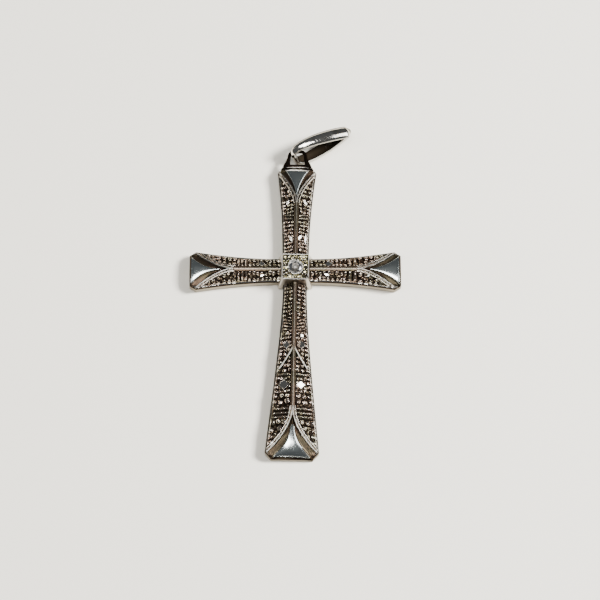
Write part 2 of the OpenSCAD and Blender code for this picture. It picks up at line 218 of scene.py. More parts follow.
def grains(arm, u, v, start, end, pitch=0.5, height=0.22, margin=0.42):
    """Height of the beads: domes round the nearest point of a lattice, each shifted by the dice."""
    column = np.clip(np.floor((u - start) / pitch), 0, round((end - start) / pitch) - 1).astype(int)
    middle = start + (column + 0.5) * pitch
    fork = np.where(middle > arm["reach"] - arm["fork"], fork_half(arm, middle) + 0.3, RIDGE_W / 2 + 0.06)
    low, high = fork + 0.42 * pitch, half_width(arm, middle) - margin
    count = np.maximum(np.rint((high - low) / pitch), 0)
    space = np.where(count > 0, (high - low) / np.maximum(count, 1), 1)
    row = np.clip(np.rint((np.abs(v) - low) / space), 0, count).astype(int)
    table = dice.random((4, COLUMNS, LANES, 2))
    side = (v > 0).astype(int)
    shift_u, shift_v, grow, tall = (table[k, column % COLUMNS, row % LANES, side] for k in range(4))
    du = u - middle - (shift_u - 0.5) * SHIFT * pitch
    dv = np.abs(v) - low - row * space - (shift_v - 0.5) * SHIFT * pitch
    size = pitch * (RADIUS + GROWTH * grow)
    bead = rounded(np.hypot(du, dv), size) * height * (LEAST + TALLER * tall)
    return np.where((high > low) & (u > start) & (u < end), bead, 0)


def bars(arm, u, v, start, end, pitch=0.46, height=0.15, slant=0.0):
    """Height of the bars across the face: the pitch's triangle wave to the 0.8, slanting with v."""
    phase = (u - start + slant * np.abs(v)) / pitch
    wave = (1 - 2 * np.abs(phase - np.floor(phase) - 0.5)) ** 0.8
    from_edge = half_width(arm, u) - 0.36 - np.abs(v)
    span = step(np.abs(v), RIDGE_W / 2, RIDGE_W / 2 + 0.15) * step(from_edge, 0, 0.12)
    return np.where((u > start) & (u < end), wave * span * height, 0)


def kite(u, v, centre, half, bearing):
    """1 - |a| / half length - |b| / half width, turned by its bearing: above 0 inside a kite only."""
    c, s = math.cos(math.radians(bearing)), math.sin(math.radians(bearing))
    du, dv = u - centre[0], v - centre[1]
    return 1 - np.abs(c * du + s * dv) / half[0] - np.abs(c * dv - s * du) / half[1]


def smear(field, count):
    """Mean of a grid over a square, count neighbours to each side, by running sums both ways."""
    for axis in (0, 1):
        pad = [(count, count) if k == axis else (0, 0) for k in range(2)]
        total = np.cumsum(np.pad(field, pad, mode="edge"), axis)
        total = np.concatenate([np.zeros_like(np.take(total, [0], axis)), total], axis)
        width = 2 * count + 1
        upper = np.take(total, range(width, total.shape[axis]), axis)
        lower = np.take(total, range(total.shape[axis] - width), axis)
        field = (upper - lower) / width
    return field


print("helpers for grains, bars and facets are ready")

# %% [markdown]
# The relief is a list of what lies where, measured along each arm from the stone: rows of grains that
# grow toward the arm's end, a few bars across, and kites that the engraver cut bright. A kite is a
# flat facet tilted toward one side, so that it flashes when the light stands there.

# %% What lies along each arm
# Rows: what it is, its start and end along the arm, and its own settings
ROWS = {
    "lower": [
        (grains, 2.2, 6.35, dict(pitch=0.5)),
        (bars, 6.3, 8.25, dict(pitch=0.42, slant=0.35, height=0.2)),
        (grains, 8.2, 13.5, dict(pitch=0.52)),
        (bars, 13.45, 13.95, dict(pitch=0.5, height=0.16)),
        (grains, 13.95, 16.1, dict(pitch=0.55, height=0.14)),
        (grains, 16.1, 17.9, dict(pitch=0.72, height=0.26)),
        (bars, 17.85, 19.45, dict(pitch=0.53, height=0.2)),
        (grains, 19.4, 23.2, dict(pitch=0.86, height=0.3)),
    ],
    "upper": [
        (grains, 1.8, 6.4, dict(pitch=0.47)),
        (bars, 6.35, 7.4, dict(pitch=0.46, height=0.18, slant=-0.2)),
        (grains, 7.35, 9.6, dict(pitch=0.5)),
        (grains, 9.6, 12.9, dict(pitch=0.56, height=0.24)),
    ],
    "right": [
        (grains, 1.8, 6.4, dict(pitch=0.52)),
        (bars, 6.4, 7.8, dict(pitch=0.7, height=0.24)),
        (grains, 7.8, 12.4, dict(pitch=0.66, height=0.26)),
    ],
    "left": [
        (grains, 1.8, 6.0, dict(pitch=0.52)),
        (bars, 5.9, 7.3, dict(pitch=0.47, height=0.24)),
        (grains, 7.3, 12.4, dict(pitch=0.64, height=0.26)),
    ],
}
# Kites: middle along and across the arm, half length and half width, bearing, and the way it tilts (x, y)
KITES = {
    "lower": [
        ((15.05, 0.95), (0.5, 0.6), 0, (0.02, -0.16)), ((15.0, -1.15), (0.7, 0.7), 0, (-0.3, 0.3)),
        ((9.85, 0.95), (0.62, 0.5), 0, (-0.2, 0.35)), ((9.9, -0.9), (0.6, 0.45), 0, (-0.3, 0.2)),
        ((8.65, 1.0), (0.3, 0.22), 30, (0.05, -0.18)),
    ],
    "upper": [
        ((4.05, 0.62), (0.45, 0.2), 25, (0.05, -0.15)), ((4.2, -0.5), (0.45, 0.2), -25, (0.0, -0.18)),
        ((4.1, -1.22), (0.9, 0.16), 0, (0.4, -0.1)), ((8.95, 1.1), (0.42, 0.22), -30, (0.0, -0.16)),
        ((8.95, -1.15), (0.42, 0.24), 25, (0.05, -0.2)),
    ],
    "right": [
        ((4.15, 0.75), (0.5, 0.42), 0, (-0.2, 0.3)), ((3.9, -0.7), (0.4, 0.18), -15, (0.0, -0.18)),
        ((9.1, -0.85), (0.3, 0.16), 25, (0.05, -0.16)),
    ],
    "left": [
        ((4.15, 0.8), (0.36, 0.18), 20, (0.0, -0.18)), ((4.2, -0.75), (0.45, 0.35), 0, (-0.2, 0.3)),
    ],
}


print({name: len(rows) + len(KITES[name]) for name, rows in ROWS.items()}, "rows and kites")

# %% [markdown]
# The face is put together in layers, and each layer is a function of the place along and across the arm:
# the field with its rows and facets, then the gutter and the cap between the fork's branches, then the
# ridges, and last the edges that roll over. A later layer lies on the earlier ones or cuts into them.
# The lower arm has a thin chevron as well, and its cap lies lower on one side. The upper arm's end has
# two bands across it with a groove between them.

# %% Layers of the face
CROWN, CROWN_DROP = 2.0, 0.13  # a cap's height over the back, and how much lower its rim is, by its width
GUTTER, GUTTER_FALL = 0.4, 0.4  # how deep the gutter starts, and how much deeper it ends
BRANCH, OUTER, APART = 0.11, 0.07, 0.31  # half widths of a branch and of its outer line, and their distance
TRENCH_IN, TRENCH_OUT = 0.14, 0.38  # how far the branch's trench reaches to either side of its middle
MAIN, MAIN_TOP, MAIN_ROLL = 0.3, 0.26, 0.1  # half widths of the main ridge and its flat top, and its roll
END_STRIP, END_LINE = 0.28, 0.36  # the smooth strip at an arm's end, and the cut line behind it
BANDS, BANDS_END = ((0.11, 0.1), (0.52, 0.12)), 0.66  # each band's place and half width, and where they end
FAR = 5.0  # more than any height: takes a layer out of the comparison where it doesn't count


def fork_place(arm, u, width):
    """A branch's distance from the middle line, the stretch sqrt(1 + slope^2) there, and the roof there."""
    start, corner, power = arm["reach"] - arm["fork"], arm["reach"] - CORNER, arm["fork_power"]
    branch, way = fork_half(arm, u), np.clip((u - start) / (corner - start), 0, 1)
    slope = arm["end"] / 2 * power / arm["fork"] * way ** (power - 1)
    return branch, np.sqrt(1 + slope * slope), WALL_H + GABLE * (1 - np.minimum(branch / width, 1))


def field_layer(name, u, v, width):
    """The roof's height, falling with |v| / width; on it the rows, and lumps in the sunk field; and a tilted
    plane in each kite. Also returns the plain roof, and 1 where a kite is."""
    arm, across = ARMS[name], np.abs(v)
    roof = WALL_H + GABLE * (1 - across / width)
    field = np.zeros_like(roof)
    for kind, low, high, settings in ROWS[name]:
        field = np.maximum(field, kind(arm, u, v, low, high, **settings))
    sunk = step(across, RIDGE_W / 2, RIDGE_W / 2 + 0.08) * step(width - across, ROLL + 0.06, ROLL + 0.14)
    z = roof + field - 0.1 * sunk + sunk * (0.12 * lumps(u, v, 0.31) + 0.09 * lumps(u + 9, v + 5, 0.17))
    c, s = math.cos(math.radians(arm["turn"])), math.sin(math.radians(arm["turn"]))
    flash = np.zeros_like(z)
    for centre, half, bearing, (tx, ty) in KITES[name]:
        inside = kite(u, v, centre, half, bearing)
        middle = WALL_H + GABLE * (1 - abs(centre[1]) / half_width(arm, centre[0]))
        plane = middle + 0.02 - (tx * c + ty * s) * (u - centre[0]) - (ty * c - tx * s) * (v - centre[1])
        z = np.where(inside > 0, plane, z)
        flash = np.maximum(flash, step(inside, -0.04, 0.04))
    return z, roof, flash


def fork_layer(arm, u, v, z, branch, steep, seat):
    """Between the branches: a gutter that rises to them by the way to the 1.8, with fine waves; in it the
    cap, which falls toward the arm's end and, by the cube of the distance, toward its rim."""
    start, across = arm["reach"] - arm["fork"], np.abs(v)
    inner = np.maximum(branch - TRENCH_IN * steep, 0.001)
    floor = WALL_H + GABLE - GUTTER - GUTTER_FALL * np.clip((u - start) / (arm["reach"] - start), 0, 1)
    t = np.clip((u - arm["reach"] + arm["cap"]) / arm["cap"], 0, 1)
    tip, wide = arm["tip"], arm["end"] * arm["share"] / 2
    cap_half = tip * np.sqrt(np.clip(t / 0.1, 0, 1)) + (wide - tip) * t ** arm["cap_power"]
    rim = np.minimum(across / np.maximum(cap_half, 0.1), 1.1)
    top = CROWN - arm["fall"] * t ** 3.5 - CROWN_DROP * cap_half * rim ** 3 - arm.get("lean", 0) * v
    cap = plateau(across, cap_half + 0.05, 0.12) * step(t, 0, 0.03)
    way = np.clip((across - cap_half) / np.maximum(inner - cap_half, 0.05), 0, 1)
    waves = 0.02 * np.cos(way * 8 * math.pi) * step(way, 0.1, 0.3)
    gutter = floor + (seat - 0.06 - floor) * way ** 1.8 + waves
    inside = (across < inner) & (u > start)
    return np.where(inside, gutter + (top - gutter) * cap, z), inside, cap


def ridge_layer(arm, u, across, z, width, branch, steep, seat):
    """The flat-topped main ridge up to the fork, then a trench along each branch with a fine ridge in it
    and a second line outside: half ellipses of the distance from the branch."""
    start, corner = arm["reach"] - arm["fork"], arm["reach"] - CORNER
    main = (WALL_H + GABLE * (1 - MAIN / width) + RIDGE_H * plateau(across, MAIN_TOP, MAIN_ROLL)
            - 0.05 * across + 0.03 * rounded(across, 0.07))
    z = np.where((u < start + 0.3) & (across < MAIN), np.maximum(z, main), z)
    off = (across - branch) / steep
    on = (u > start - 0.05) & (u < corner + 0.2)
    ridge, outer = rounded(off, BRANCH), rounded(off - APART, OUTER)
    z = np.where(on & (off > -TRENCH_IN) & (off < TRENCH_OUT), np.minimum(z, seat + 0.02), z)
    z = np.maximum(z, np.where(on, seat + 0.16 * ridge - FAR * (ridge <= 0), 0))
    beside = on & (across < width - ROLL * 0.7)
    z = np.maximum(z, np.where(beside, seat + 0.1 * outer - FAR * (outer <= 0), 0))
    return z, on, off, ridge, outer


def chevron_ridge(u, v, start=9.9, end=13.0, spread=1.78, half=0.13):
    """Two thin legs from a point on the ridge: |v| = spread times the way to the 1.25."""
    way = np.clip((u - start) / (end - start), 0, 1)
    slope = spread * 1.25 / (end - start) * way ** 0.25
    off = (np.abs(v) - spread * way ** 1.25) / np.sqrt(1 + slope * slope)
    return np.where((u > start - 0.1) & (u < end), rounded(off, half), 0)


def edge_layer(name, u, across, z, width):
    """Both long edges roll over like a quarter of a circle, and the arm's end falls off behind a fine cut
    line. The head's end has two bands instead: half ellipses of the distance from the end."""
    arm = ARMS[name]
    rolled = (WALL_H + GABLE * ROLL / width) - ROLL_DEPTH * (1 - plateau(across, width, ROLL))
    z = np.minimum(z, rolled + FAR * (width - across > ROLL))
    end, wide = arm["reach"] - u, arm["end"] * arm["share"] / 2
    last = CROWN - arm["fall"] - CROWN_DROP * wide * np.minimum(across / wide, 1.1) ** 3
    strip = np.maximum(last, WALL_H - 0.1) - 0.02 - 0.3 * step(0.2 - end, 0, 0.2)
    z = np.minimum(z, strip + FAR * (end > END_STRIP))
    z = np.where((end > END_STRIP) & (end < END_LINE), z - 0.08, z)
    bands = np.maximum(*(rounded(end - place, half) for place, half in BANDS)) * (name == "upper")
    banded = (end < BANDS_END) & (name == "upper")
    return np.where(banded, np.minimum(z, last - 0.12) + 0.14 * bands, z), bands, banded


def arm_relief(name, u, v):
    """Height over the back, by laying the layers in turn, and the marks from 0 to 1 that the finish reads."""
    arm, across = ARMS[name], np.abs(v)
    width, start, end = half_width(arm, u), arm["reach"] - arm["fork"], arm["reach"] - u
    branch, steep, seat = fork_place(arm, u, width)
    z, roof, flash = field_layer(name, u, v, width)
    z, inside, cap = fork_layer(arm, u, v, z, branch, steep, seat)
    z, on, off, ridge, outer = ridge_layer(arm, u, across, z, width, branch, steep, seat)
    chevron = chevron_ridge(u, v) * (across > RIDGE_W / 4) * (name == "lower")
    z = np.where(chevron > 0, np.maximum(z, roof + 0.24 * chevron), z)
    z, bands, banded = edge_layer(name, u, across, z, width)
    # the field is all that is no ridge, edge or gutter, and half of it counts in the trench
    free = np.where(on, (ridge <= 0.3) & (outer <= 0.3), across > RIDGE_W / 2)
    trench = np.where(on & (off > 0) & (off < TRENCH_OUT), 0.5, 1)
    textured = (1 - inside) * (width - across > ROLL) * (end > END_LINE) * free * trench * (chevron <= 0.2)
    middle = np.where(u < start, step(0.27 - across, 0, 0.03), 0)
    branches = on * np.clip(ridge + 0.4 * outer, 0, 1)
    line = np.where(u < start, step(0.05 - across, 0, 0.04), branches) * (1 - cap * inside)
    line = np.where(banded, bands, np.maximum(line, chevron))
    strip = 0.3 if name == "lower" else 0.22
    # The edge mark: the rolled edges and the end strip, which the finish paints nearly black as shade
    side = step(ROLL - (width - across), 0.02, 0.2) + step(strip - end, 0, 0.06)
    side = np.where(banded, 1 - step(bands, 0.3, 0.7), side)
    return z, {"field": textured * (1 - flash), "gutter": inside * (1 - cap),
               "cap": inside * cap * (1 - banded), "edge": np.clip(side, 0, 1), "ridge": middle, "line": line}


print("a cap stands", round(CROWN - WALL_H, 2), "mm over the walls")

# %% [markdown]
# An arm is one closed skin: at every station along it a ring runs over the face, down one rolled edge and
# wall, under the back and up the other wall. The rings follow each other every twenty-fourth of a millimetre,
# which is fine enough for a grain to be round. A colour can't tell a hollow from a crest by itself, so
# the skin also carries how far each point lies under the mean height round it.

# %% The four arms
ALONG = 0.042
# Shares of the way down a side wall, how far the wall leans in, and its chamfer at the back
DOWN, WALL_LEAN, CHAMFER = np.array([[0.12, 0.4, 0.7, 0.93, 1.0]]), 0.06, 0.05


def crest(z, spacing, reach=0.2, depth=0.06):
    """From -1 in hollows to 1 on crests: a point's height over the mean height round it, over a depth."""
    return np.clip((z - smear(z, max(1, round(reach / spacing)))) / depth, -1, 1)


def arm_skin(name):
    """Rings (face, wall, back, wall) over stations along the arm, with the marks for its finish."""
    arm = ARMS[name]
    stations = np.linspace(ROOT_U, arm["reach"], round((arm["reach"] - ROOT_U) / ALONG) + 1)
    columns = 2 * round(arm["end"] / ALONG / 2) + 1
    s = np.linspace(-1, 1, columns)
    u, share = np.meshgrid(stations, s, indexing="ij")
    width = half_width(arm, u)
    v = share * width
    z, marks = arm_relief(name, u, v)
    marks["crest"] = crest(z, ALONG)
    marks["wall"] = np.zeros_like(z)
    edge = half_width(arm, stations)[:, None]
    sides = {}
    for side, column in ((1, -1), (-1, 0)):
        height = z[:, column][:, None] * (1 - DOWN)
        out = edge - WALL_LEAN * DOWN - CHAMFER * (DOWN == 1)
        sides[side] = (np.broadcast_to(stations[:, None], height.shape), side * out, height)
    ring_u, ring_v, ring_z = (np.concatenate([face, sides[1][k], sides[-1][k][:, ::-1]], 1)
                              for k, face in enumerate((u, v, z)))
    walls = ring_u.shape[1] - columns
    marks = {mark: np.pad(values, ((0, 0), (0, walls)), constant_values=float(mark == "wall"))
             for mark, values in marks.items()}
    c, n = math.cos(math.radians(arm["turn"])), math.sin(math.radians(arm["turn"]))
    points = np.stack([ring_u * c - ring_v * n, ring_u * n + ring_v * c, ring_z], -1)
    return closed_skin("arm_" + name, points, marks)


arms = {name: arm_skin(name) for name in ARMS}

# %% [markdown]
# The box over the crossing holds the stone. Seen from above it is a square plate with a raised frame,
# and small grains that the setter pushed over the stone's edge. Its four walls flare down to feet, and an
# arch in each wall lets an arm through. It is one skin again: rings of a square shape that start round
# the seat, cross the plate, go down the wall to the arch's edge, and turn in under it.

# %% The box setting
FOOT_W, FOOT_H, ARCH_W, CORE = 4.35, 0.4, 3.5, 2.83
STONE_R, GIRDLE = 0.81, 2.82
FRAME, SUNK, SEAT_FLOOR = 0.13, 0.16, 2.25
ARCH_RISE, BACK = 0.62, 0.02


def square_ring(count):
    """Points round a square of half width 1, with a slightly rolled corner: a superellipse of power 14."""
    angle = (np.arange(count) + 0.5) / count * 2 * math.pi
    # each quarter of the way round is one side, and the points lie evenly along it
    quarter = np.floor(((angle + math.pi / 4) % (2 * math.pi)) / (math.pi / 2))
    along = ((angle + math.pi / 4) % (math.pi / 2)) / (math.pi / 2) * 2 - 1
    flat = np.stack([np.ones_like(along), along], -1)
    flat /= ((np.abs(flat) ** 14).sum(-1) ** (1 / 14))[:, None]
    turn = quarter * math.pi / 2
    return np.stack([flat[:, 0] * np.cos(turn) - flat[:, 1] * np.sin(turn),
                     flat[:, 0] * np.sin(turn) + flat[:, 1] * np.cos(turn)], -1), along


# Grains on the plate: place from the stone's middle, radius and height
PLATE_GRAINS = [
    (-1.36, -0.55, 0.17, 0.2), (-1.12, -0.86, 0.2, 0.22), (-0.78, -1.1, 0.17, 0.18),
    (-1.4, -1.05, 0.16, 0.17), (-1.36, 0.42, 0.13, 0.15), (-1.22, 0.2, 0.15, 0.15),
    (-1.05, 0.78, 0.15, 0.16), (-0.75, 0.86, 0.12, 0.14), (0.9, 0.86, 0.18, 0.17),
    (1.2, 0.6, 0.13, 0.13), (0.92, -0.88, 0.2, 0.19), (1.32, -1.0, 0.16, 0.16),
    (1.42, -1.4, 0.14, 0.15), (0.62, -1.22, 0.13, 0.1), (-0.3, 1.22, 0.14, 0.12), (0.35, 1.25, 0.12, 0.1),
]
RING = 432


def plate_height(x, y):
    """The plate's floor with its frame, the seat round the stone, and the grains over both."""
    edge = PLATE_W / 2 - np.maximum(np.abs(x), np.abs(y))
    radius = np.hypot(x, y)
    z = PLATE_H - SUNK * step(edge, FRAME, 0.2)
    z = z + (0.09 * lumps(x, y, 0.29) + 0.08 * lumps(x + 3, y + 7, 0.17)) * step(edge, 0.15, 0.25)
    z = z + 0.09 * rounded(radius - STONE_R - 0.13, 0.1)
    z = z - (z - SEAT_FLOOR) * (1 - step(radius, STONE_R - 0.14, STONE_R + 0.06))
    for gx, gy, size, tall in PLATE_GRAINS:
        bead = rounded(np.hypot(x - gx, y - gy), size)
        z = np.maximum(z, np.where(bead > 0, PLATE_H - 0.2 + (tall + 0.06) * bead, 0))
    return z


def box_skin():
    """Rings: the seat's floor, the plate, the flared wall down to the arch, its thickness, and the core."""
    ring, along = square_ring(RING)
    shares = np.linspace(0.02, 1, 70)[:, None, None]
    half = PLATE_W / 2
    top = ring[None] * shares * (half - 0.03)
    circle = ring / np.linalg.norm(ring, axis=1)[:, None]
    blend = step(np.linalg.norm(top, axis=-1), STONE_R, half)[..., None]
    top = circle[None] * shares * half * (1 - blend) + top * blend
    z_top = plate_height(top[..., 0], top[..., 1])
    lateral = np.abs(along)
    arch = FOOT_H + (PLATE_H - FOOT_H) * ARCH_RISE * np.sqrt(
        np.clip(1 - (lateral * FOOT_W / 2 / (ARCH_W / 2)) ** 2, 0, 1))
    low = np.where(lateral * FOOT_W < ARCH_W, np.maximum(arch, FOOT_H), FOOT_H)
    down = np.linspace(0, 1, 26)[:, None]
    z_wall = (PLATE_H - 0.05) * (1 - down) + low[None] * down
    # the wall runs out in a slight hollow curve
    out = half + (FOOT_W / 2 - half) * ((PLATE_H - z_wall) / (PLATE_H - FOOT_H)) ** 1.1
    wall = ring[None] * out[..., None]
    lip = np.array([0.25, 0.55])[:, None, None]
    inner = wall[-1][None] * (1 - lip) + ring[None] * CORE / 2 * lip
    z_inner = np.broadcast_to(low[None] + BACK, (2, RING))
    core = np.stack([ring * CORE / 2] * 2)
    z_core = np.stack([low + BACK, np.full(RING, BACK)])
    plan = np.concatenate([top, wall, inner, core])
    height = np.concatenate([z_top, z_wall, z_inner, z_core])
    points = np.concatenate([plan, height[..., None]], -1)
    border, radius = half - np.abs(plan).max(-1), np.linalg.norm(plan, axis=-1)
    head = step(plan[..., 1] - half + 0.17, 0, 0.03)
    marks = {name: np.zeros_like(height) for name in ("plate", "wall", "foot", "inside")}
    wall_start, wall_end = len(z_top), len(z_top) + len(z_wall)
    marks["plate"][:wall_start] = 1
    marks["wall"][wall_start:wall_end] = 1
    marks["foot"][wall_start:wall_end] = step(lateral, 0.62, 0.8)
    # Under the arches: the finish paints this nearly black as shade
    marks["inside"][wall_end:] = 1
    marks["crest"] = crest(height, 0.03, 0.12) * marks["plate"]
    marks["frame"] = step(FRAME - border, 0, 0.03) * marks["plate"] * (1 - head)
    marks["seat"] = step(STONE_R + 0.1 - radius, 0, 0.08) * marks["plate"]
    return closed_skin("box", points, marks)


box = box_skin()

# %% [markdown]
# A round brilliant is cut to a fixed plan: an octagonal table, eight star facets, eight kites and
# sixteen upper halves round the crown, a thin girdle, then sixteen lower halves and eight mains that meet
# at the culet. Each is a true plane here, because a stone's sparkle is nothing but flat mirrors.

# %% The stone
def brilliant():
    """Facets between five rings of points and the culet; the table is turned by half a step to the rest."""
    def ring(radius, height, count, turn):
        """Radius and height over the girdle as shares of the stone's radius; the turn in steps."""
        angle = (np.arange(count) + turn) / count * 2 * math.pi
        return np.stack([STONE_R * radius * np.cos(angle), STONE_R * radius * np.sin(angle),
                         np.full(count, GIRDLE + STONE_R * height)], -1)

    table, star = ring(0.56, 0.3, 8, 0.5), ring(0.8, 0.17, 8, 0)
    upper, lower = ring(1, 0.03, 16, 0), ring(1, -0.03, 16, 0)
    waist = ring(0.45, -0.5, 8, 0)
    points = np.concatenate([table, star, upper, lower, waist, [[0, 0, GIRDLE - 0.86 * STONE_R]]])
    t, s, a, b, w, tip = 0, 8, 16, 32, 48, 56
    faces = [list(range(8))]
    for k in range(8):
        n, m = (k + 1) % 8, (k - 1) % 8
        faces += [[t + m, t + k, s + k], [s + k, t + k, s + n, a + 2 * k + 1]]
        faces += [[s + k, a + 2 * k + 1, a + 2 * k], [s + k, a + 2 * k, a + (2 * k - 1) % 16]]
        faces += [[a + 2 * k, a + 2 * k + 1, b + 2 * k + 1, b + 2 * k],
                  [a + 2 * k + 1, a + (2 * k + 2) % 16, b + (2 * k + 2) % 16, b + 2 * k + 1]]
        faces += [[b + 2 * k, b + 2 * k + 1, w + k], [b + (2 * k + 2) % 16, w + n, b + 2 * k + 1]]
        faces += [[b + 2 * k + 1, w + n, tip, w + k]]
    return points, faces


stone_points, stone_faces = brilliant()
stone = piece("stone", stone_points, np.zeros((0, 4), int), stone_faces, smooth=False)

# %% [markdown]
# The loop is a wire that was bent to a stirrup and soldered to the arm's end. The solder made its feet
# wider and ran between them, and on top the wire is worn thin, where the bail has rubbed. A path with a
# radius at each point, and a circle at right angles to the path, make both the wire and that solder.

# %% The loop
SIDES = 24


def tube(path, radius):
    """Circles of the given radius round a path: point + r (cos a * left + sin a * up)."""
    along = np.gradient(path, axis=0)
    along /= np.linalg.norm(along, axis=1)[:, None]
    left = np.cross([0, 0, 1.0], along)
    left /= np.linalg.norm(left, axis=1)[:, None]
    up = np.cross(along, left)
    angle = np.arange(SIDES) / SIDES * 2 * math.pi
    radius = np.broadcast_to(radius, len(path))[:, None, None]
    ring = np.cos(angle)[:, None] * left[:, None] + np.sin(angle)[:, None] * up[:, None]
    return path[:, None] + radius * ring


def rod(name, rings, share, shift):
    """A closed skin of round rings, whose crest mark is share * sin a + shift."""
    # The crest mark is painted shade here: it is higher on top than underneath, so the underside is darker
    top_light = np.broadcast_to(np.sin(np.arange(SIDES) / SIDES * 2 * math.pi), rings.shape[:2])
    return closed_skin(name, rings, {"field": np.ones_like(top_light), "crest": share * top_light + shift})


HEAD = ARMS["upper"]["reach"]
LOOP_Z, LOOP_TOP, LOOP_BASE = 1.39, HEAD + 2.1, HEAD - 0.3
BEND, FOOT_X, SHOULDER_X = 0.5, 1.3, 1.0
# The wire's radius at its feet, how much thinner it is on top, and from which share of its height up
WIRE, THINNER, THIN_FROM = 0.28, 0.08, 0.79
corner = np.radians(np.linspace(0, 90, 9))
shoulder = np.stack([BEND + BEND * np.cos(corner), LOOP_TOP - BEND + BEND * np.sin(corner)], -1)
post = np.stack([np.linspace(FOOT_X, SHOULDER_X, 14), np.linspace(LOOP_BASE, LOOP_TOP - BEND, 14)], -1)
bar = np.stack([np.linspace(BEND, 0, 6), np.full(6, LOOP_TOP)], -1)
right_half = np.concatenate([post, shoulder[1:], bar[1:]])
loop_plan = np.concatenate([right_half, (right_half * [-1, 1])[-2::-1]])
loop_path = np.column_stack([loop_plan, np.full(len(loop_plan), LOOP_Z)])
rise = (loop_plan[:, 1] - LOOP_BASE) / (LOOP_TOP - LOOP_BASE)
loop_rings = tube(loop_path, WIRE - THINNER * np.clip(rise / THIN_FROM, 0, 1))
# the feet grow outward over most of the post, and inward only low down
outward = (loop_rings[..., 0] - loop_plan[:, :1]) * np.sign(loop_plan[:, :1])
foot = 1 - step(rise, 0.1, 0.7)
solder = 1 - step(rise, 0, 0.36)
outward = outward * np.where(outward > 0, 1 + 1.2 * foot[:, None], 1 + 2.4 * solder[:, None])
loop_rings[..., 0] = loop_plan[:, :1] + outward * np.sign(loop_plan[:, :1])
# The wire's low shift darkens it all over, and more underneath as painted shade
loop = rod("loop", loop_rings, 0.5, -0.95)

# solder has run along the foot of the opening, from post to post
SOLDER_HALF, SOLDER_Y, SOLDER_Z, SOLDER_MORE, STATIONS = 1.15, 13.98, 1.36, 0.05, 24
foot_path = np.column_stack([np.linspace(-SOLDER_HALF, SOLDER_HALF, STATIONS), np.full(STATIONS, SOLDER_Y),
                             np.full(STATIONS, SOLDER_Z)])
foot_rings = tube(foot_path, WIRE + SOLDER_MORE * np.linspace(-1, 1, STATIONS) ** 2)
# The solder's lower shift paints it nearly black, partly as shade in the foot of the opening
loop_foot = rod("loop_foot", foot_rings, 0.3, -1.2)

# %% [markdown]
# The bail is a strap, domed across its width, that was folded round the wire and soldered end to end.
# From the side it is a drop: full near the wire and narrow toward the fold. So its outline is one
# closed curve, and at each point of the curve a domed cross section stands at right angles to it. The
# lower strap is wider than the upper one on the side where it lies hidden.

# %% The bail
# Swing, lift and roll in degrees, lengths in millimetres, and the rest are powers and shares of a curve
BAIL = dict(swing=63, lift=3.7, roll=29, reach=1.415, length=7.46, opening=2.31, neck=0.98, fold=2.1,
            wall=0.24, dome=0.7, full=0.5, taper=1.3, widening=0.9, hidden=0.2, full_from=1.15)
# It hangs half way round the loop's right shoulder, a little off the wire's middle
HALF_WAY = math.pi / 4
HANG = np.array([BEND + BEND * math.cos(HALF_WAY), LOOP_TOP - BEND + BEND * math.sin(HALF_WAY), LOOP_Z])
HANG = HANG + [0.03, 0.05, 0.3]


def bail_axes():
    """Unit directions: along the bail, through its opening, and across its strap."""
    swing, lift, roll = (math.radians(BAIL[key]) for key in ("swing", "lift", "roll"))
    along = np.array([math.sin(swing) * math.cos(lift), math.cos(swing) * math.cos(lift), math.sin(lift)])
    flat = np.array([math.cos(swing), -math.sin(swing), 0])
    up = np.cross(flat, along)
    return along, -math.sin(roll) * flat + math.cos(roll) * up, math.cos(roll) * flat + math.sin(roll) * up


def bail_outline(a):
    """The drop's half opening: |sin a|^full * |cos(a / 2)|^taper, with its peak at 1."""
    def raw(b):
        return np.abs(np.sin(b)) ** BAIL["full"] * np.abs(np.cos(b / 2)) ** BAIL["taper"]
    return np.sign(np.sin(a)) * raw(a) / raw(np.linspace(0, math.pi, 721)).max()


def bail_curve(a):
    """Place along the bail and through its opening at an angle round the drop."""
    return np.stack([(BAIL["length"] - BAIL["wall"]) * (1 - np.cos(a)) / 2 - BAIL["reach"],
                     (BAIL["opening"] + BAIL["wall"]) / 2 * bail_outline(a)], -1)


